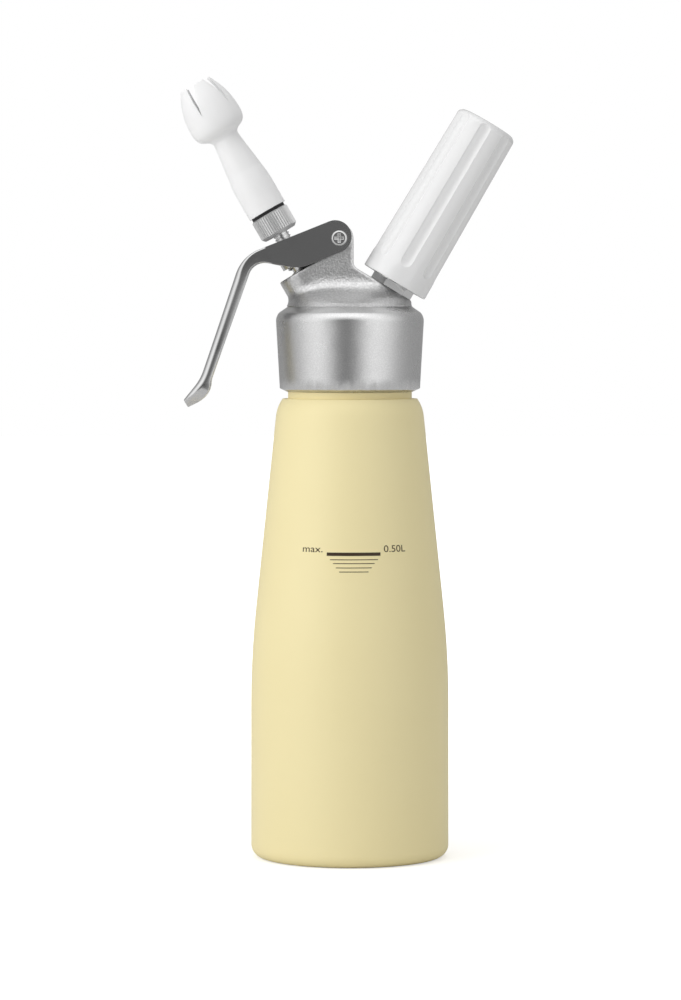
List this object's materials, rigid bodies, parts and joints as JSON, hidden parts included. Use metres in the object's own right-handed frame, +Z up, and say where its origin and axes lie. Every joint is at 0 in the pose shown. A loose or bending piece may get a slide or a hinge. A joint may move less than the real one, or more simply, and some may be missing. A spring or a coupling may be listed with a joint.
{
  "type": "whipped cream dispenser",
  "caption": "Whipped cream dispenser: powder-coated bottle, screw-on cast head with lever valve and slotted decorator tip, and a gas charger in a fluted screw-on holder.",
  "frame": {"origin": "centre of the bottle's flat base, on the surface it stands on", "axes": "+Z up along the bottle's axis, +X towards the gas charger's holder, -X towards the lever and the tip, -Y the front with the fill mark"},
  "size_m": [0.1337, 0.08, 0.315],
  "materials": {
    "powder_coat": "satin cream powder coat",
    "cast_aluminium": "bead-blasted satin",
    "steel_sheet": "polished along the handle",
    "steel": "bright turned steel",
    "white_plastic": "gloss",
    "tip_plastic": "fine satin",
    "black_rubber": "matte",
    "white_seal": "matte silicone",
    "brass": "turned",
    "bush_plastic": "machined"
  },
  "bodies": {
    "bottle": {"bottle": "powder_coat"},
    "head_seal": {"head_gasket": "white_seal"},
    "head": {"head_casting": "cast_aluminium", "pivot_screw": "steel", "pivot_sleeve": "steel", "guide_bush": "bush_plastic", "charger_stub": "steel", "stub_o_ring": "black_rubber", "pin_carrier": "brass", "piercing_pin": "steel", "charger_seal": "black_rubber", "check_valve": "black_rubber", "return_spring": "steel"},
    "lever": {"lever": "steel_sheet"},
    "valve": {"valve_piston": "steel", "valve_disc_seal": "black_rubber", "stem_o_ring": "black_rubber", "thrust_collar": "steel", "tip_adapter": "steel"},
    "tip_washer": {"tip_seal": "black_rubber"},
    "tip": {"decorator_tip": "tip_plastic"},
    "charger": {"gas_charger": "steel"},
    "charger_holder": {"charger_holder": "white_plastic"}
  },
  "joints": [
    {"name": "head_rise", "type": "slide", "parent": "bottle", "child": "head_seal", "axis": [0, 0, 1], "range_m": [0, 0.01501]},
    {"name": "head_turn", "type": "hinge", "parent": "head_seal", "child": "head", "pos_m": [0, 0, 0.2056], "axis": [0, 0, 1], "range_deg": [0, 1800]},
    {"name": "lever_press", "type": "hinge", "parent": "head", "child": "lever", "pos_m": [-0.0043, 0, 0.25], "axis": [0, -1, 0], "range_deg": [0, 9]},
    {"name": "valve_travel", "type": "slide", "parent": "head", "child": "valve", "axis": [0.5, 0, -0.866], "range_m": [0, 0.0023], "stiffness_N_per_m": 400, "springref_m": -0.025, "deforming": ["return_spring"]},
    {"name": "tip_rise", "type": "slide", "parent": "valve", "child": "tip_washer", "axis": [-0.5, 0, 0.866], "range_m": [0, 0.00801]},
    {"name": "tip_turn", "type": "hinge", "parent": "tip_washer", "child": "tip", "pos_m": [0, 0, 0.2036], "axis": [-0.5, 0, 0.866], "range_deg": [0, 1440]},
    {"name": "charger_rise", "type": "slide", "parent": "head", "child": "charger", "axis": [0.5075, 0, 0.8616], "range_m": [0, 0.01201]},
    {"name": "holder_turn", "type": "hinge", "parent": "charger", "child": "charger_holder", "pos_m": [0, 0, 0.2022], "axis": [0.5075, 0, 0.8616], "range_deg": [0, 2160]}
  ],
  "couplings": [
    {"joint": "head_rise", "follows": "head_turn", "m_per_rad": 0.00047746},
    {"joint": "valve_travel", "follows": "lever_press", "m_per_rad": 0.0145},
    {"joint": "tip_rise", "follows": "tip_turn", "m_per_rad": 0.00031831},
    {"joint": "charger_rise", "follows": "holder_turn", "m_per_rad": 0.00031831}
  ]
}
